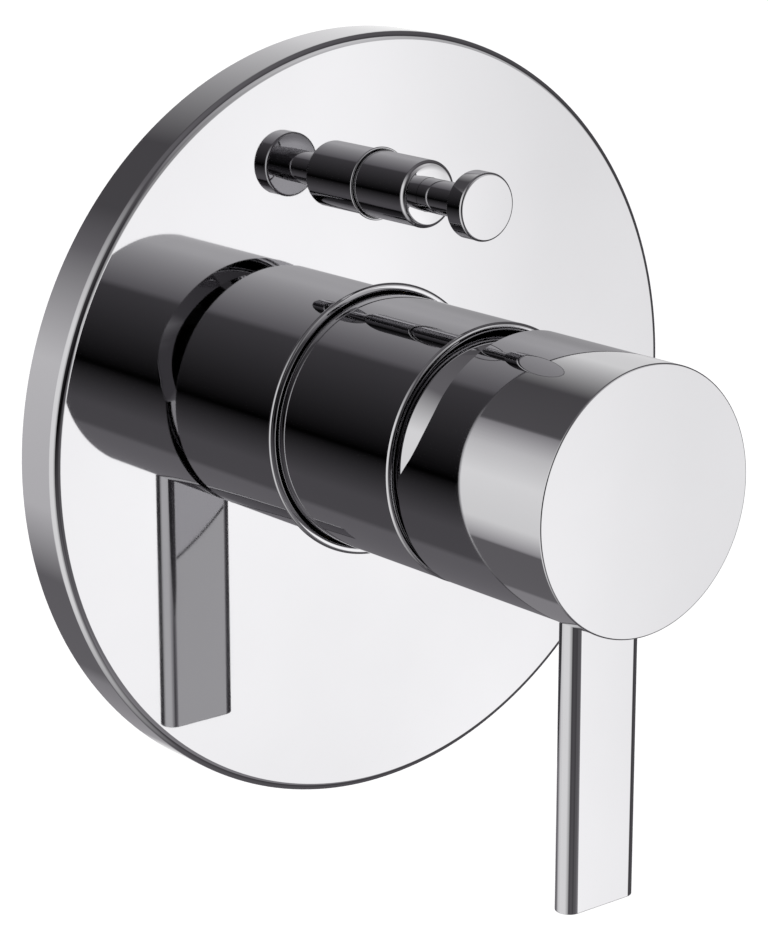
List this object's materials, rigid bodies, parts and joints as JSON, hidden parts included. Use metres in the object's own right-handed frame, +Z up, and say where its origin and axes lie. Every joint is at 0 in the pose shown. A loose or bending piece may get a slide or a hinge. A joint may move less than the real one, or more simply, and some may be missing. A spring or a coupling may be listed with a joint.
{
  "type": "concealed bath mixer",
  "caption": "Concealed single-lever bath mixer: round chrome cover plate, cylindrical sleeve and tilting handle with a flat lever below, and a pull-out diverter knob above.",
  "frame": {"origin": "on the handle's axis, in the plane of the finished wall, which the cover plate's rim and the front of the fixing lugs lie in", "axes": "+X to the right as the user faces it, +Y into the wall, +Z up; the handle points along -Y"},
  "size_m": [0.15, 0.1213, 0.1546],
  "materials": {
    "chrome": "polished chrome plating",
    "brass": "cast and turned brass",
    "rubber": "black rubber",
    "foam": "closed-cell foam",
    "cartridge_plastic": "moulded white plastic",
    "disc_ceramic": "lapped white ceramic",
    "steel": "plain stainless steel",
    "washer_fibre": "red fibre"
  },
  "bodies": {
    "valve": {"cover_plate": "chrome", "wall_gasket": "foam", "sleeve_seal": "rubber", "diverter_seal": "rubber", "main_sleeve": "chrome", "sleeve_orings": "rubber", "dome_cap": "chrome", "cartridge_base": "cartridge_plastic", "base_seals": "rubber", "fixed_disc": "disc_ceramic", "cartridge_housing": "cartridge_plastic", "retaining_nut": "brass", "valve_body": "brass", "seat_ring": "brass", "diverter_bonnet": "brass", "bonnet_washer": "washer_fibre", "stem_oring": "rubber", "diverter_sleeve": "chrome", "diverter_spring": "steel"},
    "rotor": {"rotor": "cartridge_plastic", "pivot_pin": "steel"},
    "handle": {"handle_body": "chrome", "lever_bar": "chrome", "lever_screws": "steel", "handle_screw": "steel", "screw_plug": "chrome", "spindle": "brass"},
    "disc": {"moving_disc": "disc_ceramic", "disc_carrier": "cartridge_plastic"},
    "diverter": {"diverter_stem": "chrome", "diverter_knob": "chrome", "diverter_plunger": "brass", "plunger_seals": "rubber"}
  },
  "joints": [
    {"name": "handle_turn", "type": "hinge", "parent": "valve", "child": "rotor", "pos_m": [0, -0.036, 0], "axis": [0, -1, 0], "range_deg": [-45, 45]},
    {"name": "handle_tilt", "type": "hinge", "parent": "rotor", "child": "handle", "pos_m": [0, -0.036, 0], "axis": [-1, 0, 0], "range_deg": [0, 22]},
    {"name": "disc_slide", "type": "slide", "parent": "rotor", "child": "disc", "axis": [0, 0, -1], "range_m": [0, 0.00365]},
    {"name": "diverter_pull", "type": "slide", "parent": "valve", "child": "diverter", "axis": [0, -1, 0], "range_m": [0, 0.0075], "stiffness_N_per_m": 300, "springref_m": -0.003, "deforming": ["diverter_spring"]}
  ],
  "couplings": [
    {"joint": "disc_slide", "follows": "handle_tilt", "m_per_rad": 0.0095}
  ]
}
